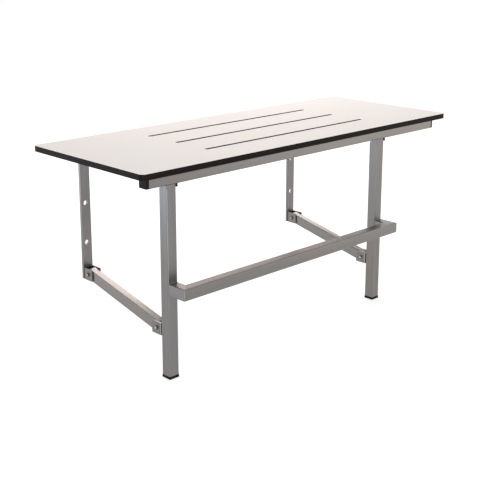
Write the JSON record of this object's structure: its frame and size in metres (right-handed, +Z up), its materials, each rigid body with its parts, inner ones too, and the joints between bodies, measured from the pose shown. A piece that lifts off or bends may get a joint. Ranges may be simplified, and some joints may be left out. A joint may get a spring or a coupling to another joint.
{
  "type": "fold-up work bench",
  "caption": "Wall-fixed work bench: slotted laminate top on a steel tube frame with hinged legs, a footrest bar and pivoting side struts, folding up against its support.",
  "frame": {"origin": "on the floor, midway along the worktop's length and midway between the footrest's front face and the worktop's rear edge", "axes": "+X along the bench from the user's left to right, +Y from the user towards the wall, +Z up"},
  "size_m": [1.6, 0.665, 0.73],
  "materials": {
    "core_black": "black phenolic core of a compact laminate board, sawn and finely sanded edge",
    "laminate_cream": "warm off-white decor laminate, fine pearl texture, low sheen",
    "steel_tube": "stainless hollow section, ground along its length to a satin grain",
    "steel_bar": "stainless flat bar and barrel, satin ground",
    "steel_sheet": "folded stainless sheet, satin with laser-cut edges",
    "steel_bolt": "bright stainless fasteners and bushes",
    "plastic_black": "moulded black polyamide, fine spark texture"
  },
  "bodies": {
    "wall_frame": {"upright_left": "steel_bar", "upright_right": "steel_bar", "hinge_barrel_left": "steel_bar", "hinge_barrel_right": "steel_bar", "wall_bracket_left": "steel_sheet", "wall_bracket_right": "steel_sheet", "wall_pivot_bolts": "steel_bolt", "wall_pivot_nuts": "steel_bolt"},
    "top_frame": {"worktop_core": "core_black", "worktop_face": "laminate_cream", "worktop_backer": "laminate_cream", "front_rail": "steel_tube", "rail_cap_left": "plastic_black", "rail_cap_right": "plastic_black", "bearer_left": "steel_tube", "bearer_right": "steel_tube", "rear_cross_tube": "steel_tube", "worktop_bolts": "steel_bolt", "rear_saddle_left": "steel_sheet", "rear_saddle_right": "steel_sheet", "top_hinge_pins": "steel_bolt", "top_hinge_clips": "steel_bolt", "leg_ears_left": "steel_sheet", "leg_ears_right": "steel_sheet", "leg_spacers": "plastic_black", "leg_hinge_pins": "steel_bolt"},
    "leg_frame": {"leg_left": "steel_tube", "leg_right": "steel_tube", "leg_bushes": "steel_bolt", "foot_cap_left": "plastic_black", "foot_cap_right": "plastic_black", "footrest_arm_left": "steel_tube", "footrest_arm_right": "steel_tube", "footrest_bar": "steel_tube", "leg_bracket_left": "steel_sheet", "leg_bracket_right": "steel_sheet", "leg_pivot_bolts": "steel_bolt", "leg_pivot_nuts": "steel_bolt"},
    "left_strut": {"strut_left": "steel_tube", "strut_bush_left": "steel_bolt"},
    "right_strut": {"strut_right": "steel_tube", "strut_bush_right": "steel_bolt"}
  },
  "joints": [
    {"name": "top_hinge", "type": "hinge", "parent": "wall_frame", "child": "top_frame", "pos_m": [0, 0.2265, 0.69], "axis": [-1, 0, 0], "range_deg": [0, 85]},
    {"name": "leg_hinge", "type": "hinge", "parent": "top_frame", "child": "leg_frame", "pos_m": [0, -0.2225, 0.6595], "axis": [1, 0, 0], "range_deg": [0, 75.5]},
    {"name": "left_strut_pivot", "type": "hinge", "parent": "wall_frame", "child": "left_strut", "pos_m": [-0.657, 0.2045, 0.254], "axis": [-1, 0, 0], "range_deg": [0, 89]},
    {"name": "right_strut_pivot", "type": "hinge", "parent": "wall_frame", "child": "right_strut", "pos_m": [0.414, 0.2045, 0.254], "axis": [-1, 0, 0], "range_deg": [0, 89]}
  ],
  "couplings": [
    {"joint": "leg_hinge", "follows": "top_hinge", "ratio": 0.8855},
    {"joint": "left_strut_pivot", "follows": "top_hinge", "ratio": 1.0437},
    {"joint": "right_strut_pivot", "follows": "top_hinge", "ratio": 1.0437}
  ]
}
